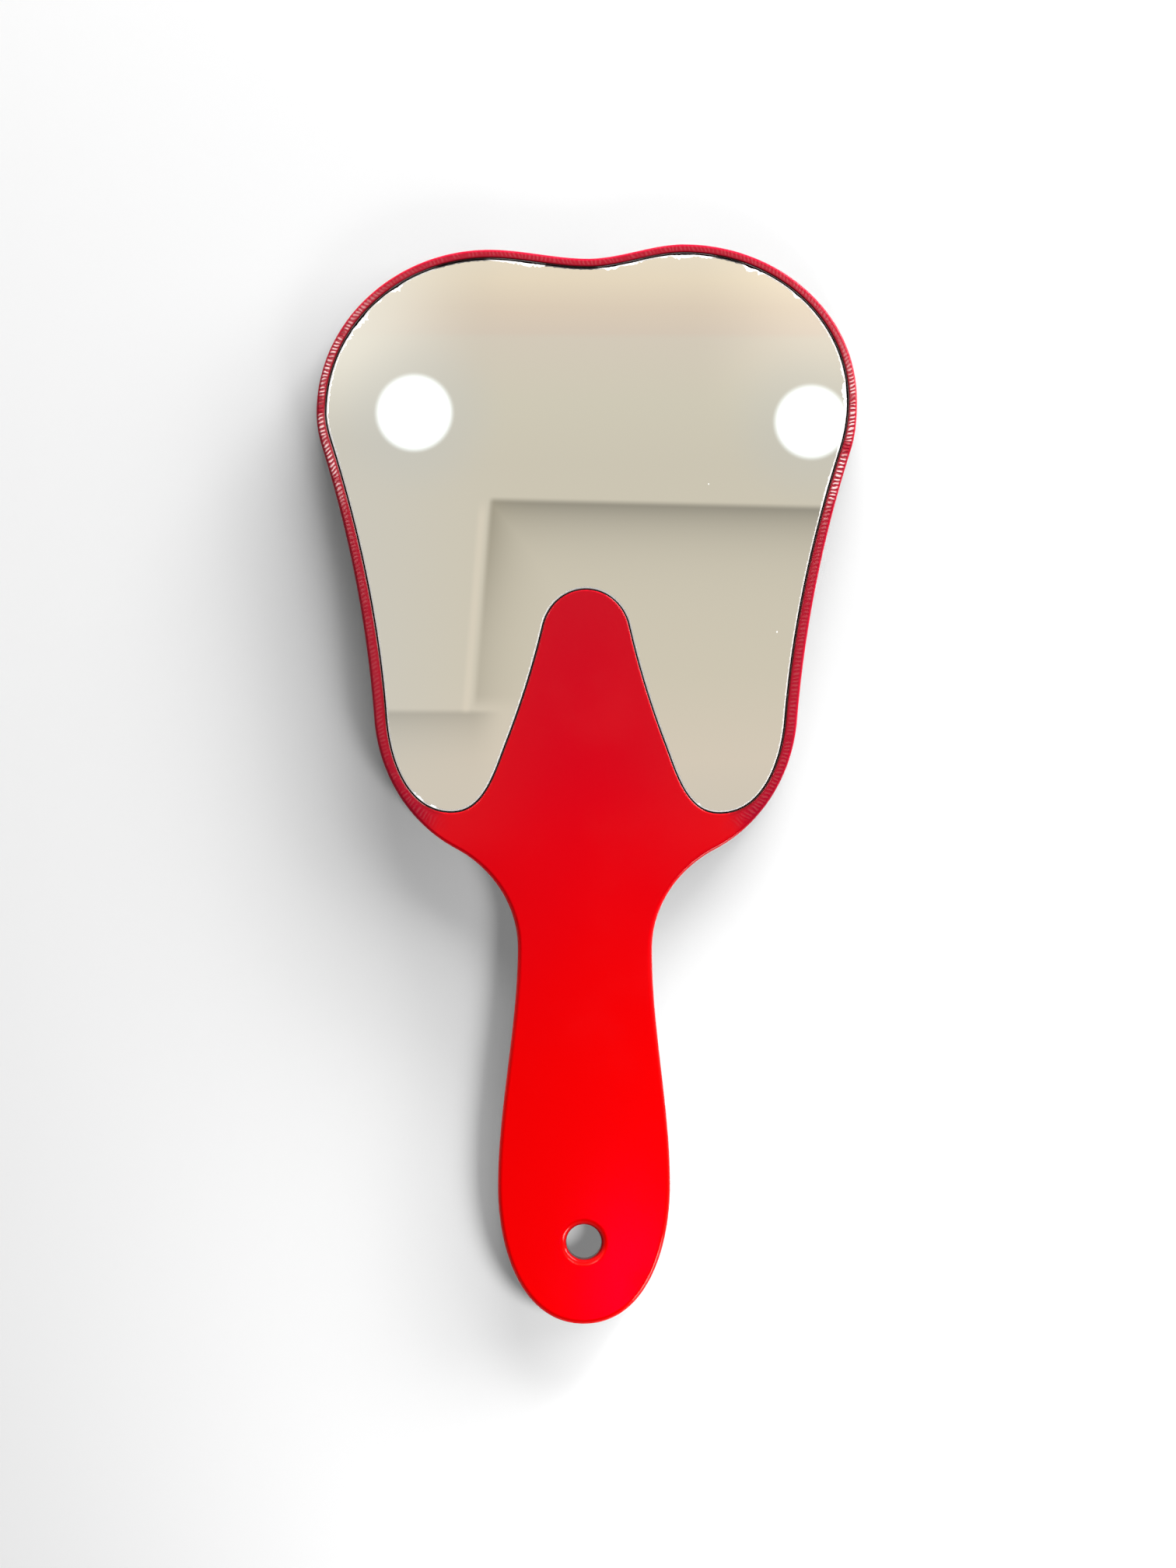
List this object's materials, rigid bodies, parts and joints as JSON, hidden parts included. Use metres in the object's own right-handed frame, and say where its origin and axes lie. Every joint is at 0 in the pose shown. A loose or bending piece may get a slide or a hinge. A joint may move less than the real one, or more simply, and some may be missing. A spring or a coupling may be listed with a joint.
{
  "type": "tooth-shaped hand mirror",
  "caption": "Patient's hand mirror: a flat tooth-shaped pane let into a red moulded frame, with a tongue between the roots and a flat handle with a hanging hole.",
  "frame": {"origin": "under the middle of the object, on the surface that it lies on with its mirror up", "axes": "+Z comes up out of the mirror's face, +Y runs along the object from the handle to the crown, +X is to the right as the mirror is read"},
  "size_m": [0.1252, 0.25, 0.006],
  "materials": {
    "red_plastic": "glossy opaque moulded red plastic",
    "mirror_glass": "polished glass with its silvering showing through it, and ground arrises",
    "silver": "silvering seen through the pane",
    "backing_paint": "grey protective paint over the silvering",
    "foam_tape": "closed-cell foam tape"
  },
  "bodies": {
    "root": {"handle_frame": "red_plastic", "mirror_pane": "mirror_glass", "silver_film": "silver", "backing_paint": "backing_paint", "crown_pad_left": "foam_tape", "crown_pad_right": "foam_tape", "root_pad_left": "foam_tape", "root_pad_right": "foam_tape"}
  },
  "joints": []
}
